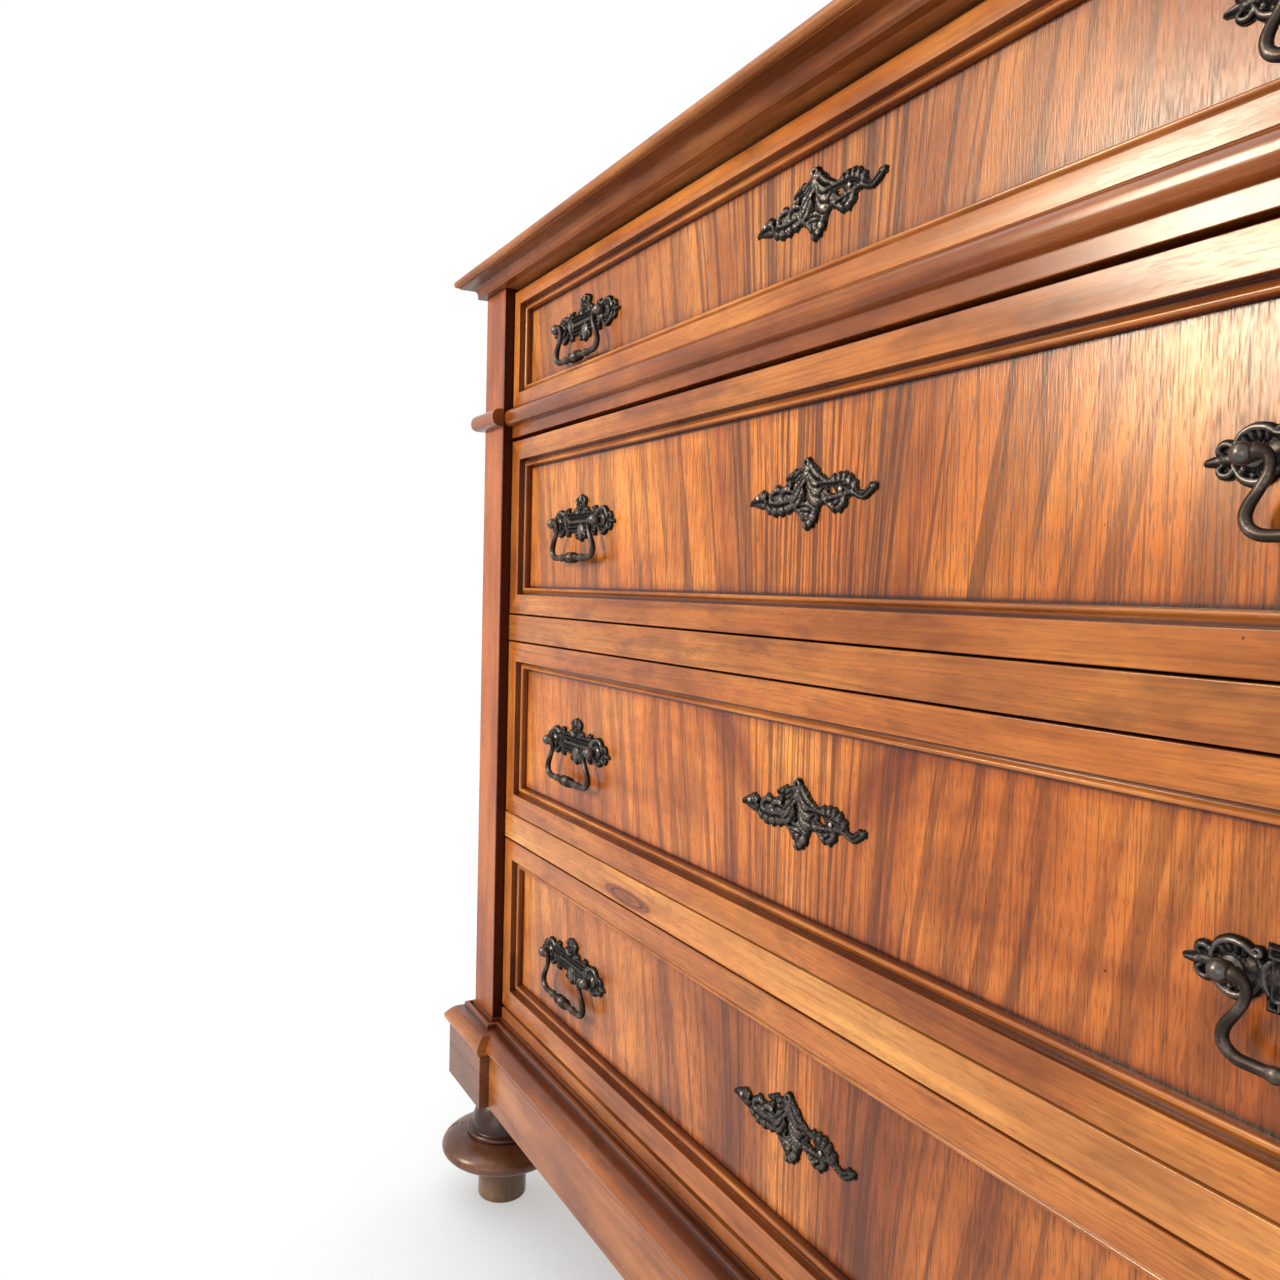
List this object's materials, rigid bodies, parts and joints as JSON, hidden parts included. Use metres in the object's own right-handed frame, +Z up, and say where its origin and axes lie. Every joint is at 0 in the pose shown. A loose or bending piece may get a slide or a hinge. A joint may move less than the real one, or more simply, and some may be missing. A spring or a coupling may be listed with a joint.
{
  "type": "bachelors chest",
  "caption": "Walnut chest of drawers on turned bun feet, with a shallow top drawer over three deep ones, framed drawer fronts, corner posts and swan-neck bail handles.",
  "frame": {"origin": "on the floor, under the middle of the chest's bounding box", "axes": "+X to the right as seen from the front, +Y from the front to the back, +Z up"},
  "size_m": [1.17, 0.5408, 1],
  "materials": {
    "walnut": "polished, glossy",
    "walnut_veneer": "polished, glossy",
    "dark_walnut": "polished, worn",
    "softwood": "raw, aged",
    "bronze": "dark, burnished on the high points",
    "iron": "dark, dull"
  },
  "bodies": {
    "case": {"top_board": "walnut", "cornice_moulding": "walnut", "front_post_left": "walnut", "front_post_right": "walnut", "post_collars": "walnut", "rear_posts": "walnut", "side_rails": "walnut", "side_panels": "walnut", "top_rail": "softwood", "torus_rail": "walnut", "middle_rail": "walnut", "lower_rail": "walnut", "bottom_rail": "walnut", "drawer_runners": "softwood", "drawer_guides": "softwood", "drawer_stops": "softwood", "top_kickers": "softwood", "back_boards": "softwood", "floor_board": "softwood", "plinth_boards": "walnut", "plinth_blocks": "walnut", "plinth_cap": "walnut", "glue_blocks": "softwood", "feet": "dark_walnut"},
    "drawer_1": {"drawer_1_front": "walnut_veneer", "drawer_1_frame": "walnut", "drawer_1_box": "softwood", "drawer_1_escutcheon": "bronze", "drawer_1_lock": "iron", "drawer_1_handle_plates": "bronze"},
    "drawer_1_bolt": {"drawer_1_bolt": "iron"},
    "drawer_1_bail_left": {"drawer_1_bail_left": "bronze"},
    "drawer_1_bail_right": {"drawer_1_bail_right": "bronze"},
    "drawer_2": {"drawer_2_front": "walnut_veneer", "drawer_2_frame": "walnut", "drawer_2_box": "softwood", "drawer_2_escutcheon": "bronze", "drawer_2_lock": "iron", "drawer_2_handle_plates": "bronze"},
    "drawer_2_bolt": {"drawer_2_bolt": "iron"},
    "drawer_2_bail_left": {"drawer_2_bail_left": "bronze"},
    "drawer_2_bail_right": {"drawer_2_bail_right": "bronze"},
    "drawer_3": {"drawer_3_front": "walnut_veneer", "drawer_3_frame": "walnut", "drawer_3_box": "softwood", "drawer_3_escutcheon": "bronze", "drawer_3_lock": "iron", "drawer_3_handle_plates": "bronze"},
    "drawer_3_bolt": {"drawer_3_bolt": "iron"},
    "drawer_3_bail_left": {"drawer_3_bail_left": "bronze"},
    "drawer_3_bail_right": {"drawer_3_bail_right": "bronze"},
    "drawer_4": {"drawer_4_front": "walnut_veneer", "drawer_4_frame": "walnut", "drawer_4_box": "softwood", "drawer_4_escutcheon": "bronze", "drawer_4_lock": "iron", "drawer_4_handle_plates": "bronze"},
    "drawer_4_bolt": {"drawer_4_bolt": "iron"},
    "drawer_4_bail_left": {"drawer_4_bail_left": "bronze"},
    "drawer_4_bail_right": {"drawer_4_bail_right": "bronze"}
  },
  "joints": [
    {"name": "drawer_1_slide", "type": "slide", "parent": "case", "child": "drawer_1", "axis": [0, -1, 0], "range_m": [0, 0.35]},
    {"name": "drawer_1_bolt_slide", "type": "slide", "parent": "drawer_1", "child": "drawer_1_bolt", "axis": [0, 0, 1], "range_m": [0, 0.009]},
    {"name": "drawer_1_bail_left_hinge", "type": "hinge", "parent": "drawer_1", "child": "drawer_1_bail_left", "pos_m": [-0.339, -0.219, 0.914], "axis": [-1, 0, 0], "range_deg": [0, 100]},
    {"name": "drawer_1_bail_right_hinge", "type": "hinge", "parent": "drawer_1", "child": "drawer_1_bail_right", "pos_m": [0.339, -0.219, 0.914], "axis": [-1, 0, 0], "range_deg": [0, 100]},
    {"name": "drawer_2_slide", "type": "slide", "parent": "case", "child": "drawer_2", "axis": [0, -1, 0], "range_m": [0, 0.35]},
    {"name": "drawer_2_bolt_slide", "type": "slide", "parent": "drawer_2", "child": "drawer_2_bolt", "axis": [0, 0, 1], "range_m": [0, 0.009]},
    {"name": "drawer_2_bail_left_hinge", "type": "hinge", "parent": "drawer_2", "child": "drawer_2_bail_left", "pos_m": [-0.339, -0.219, 0.7295], "axis": [-1, 0, 0], "range_deg": [0, 100]},
    {"name": "drawer_2_bail_right_hinge", "type": "hinge", "parent": "drawer_2", "child": "drawer_2_bail_right", "pos_m": [0.339, -0.219, 0.7295], "axis": [-1, 0, 0], "range_deg": [0, 100]},
    {"name": "drawer_3_slide", "type": "slide", "parent": "case", "child": "drawer_3", "axis": [0, -1, 0], "range_m": [0, 0.35]},
    {"name": "drawer_3_bolt_slide", "type": "slide", "parent": "drawer_3", "child": "drawer_3_bolt", "axis": [0, 0, 1], "range_m": [0, 0.009]},
    {"name": "drawer_3_bail_left_hinge", "type": "hinge", "parent": "drawer_3", "child": "drawer_3_bail_left", "pos_m": [-0.339, -0.219, 0.521], "axis": [-1, 0, 0], "range_deg": [0, 100]},
    {"name": "drawer_3_bail_right_hinge", "type": "hinge", "parent": "drawer_3", "child": "drawer_3_bail_right", "pos_m": [0.339, -0.219, 0.521], "axis": [-1, 0, 0], "range_deg": [0, 100]},
    {"name": "drawer_4_slide", "type": "slide", "parent": "case", "child": "drawer_4", "axis": [0, -1, 0], "range_m": [0, 0.35]},
    {"name": "drawer_4_bolt_slide", "type": "slide", "parent": "drawer_4", "child": "drawer_4_bolt", "axis": [0, 0, 1], "range_m": [0, 0.009]},
    {"name": "drawer_4_bail_left_hinge", "type": "hinge", "parent": "drawer_4", "child": "drawer_4_bail_left", "pos_m": [-0.339, -0.219, 0.3125], "axis": [-1, 0, 0], "range_deg": [0, 100]},
    {"name": "drawer_4_bail_right_hinge", "type": "hinge", "parent": "drawer_4", "child": "drawer_4_bail_right", "pos_m": [0.339, -0.219, 0.3125], "axis": [-1, 0, 0], "range_deg": [0, 100]}
  ]
}
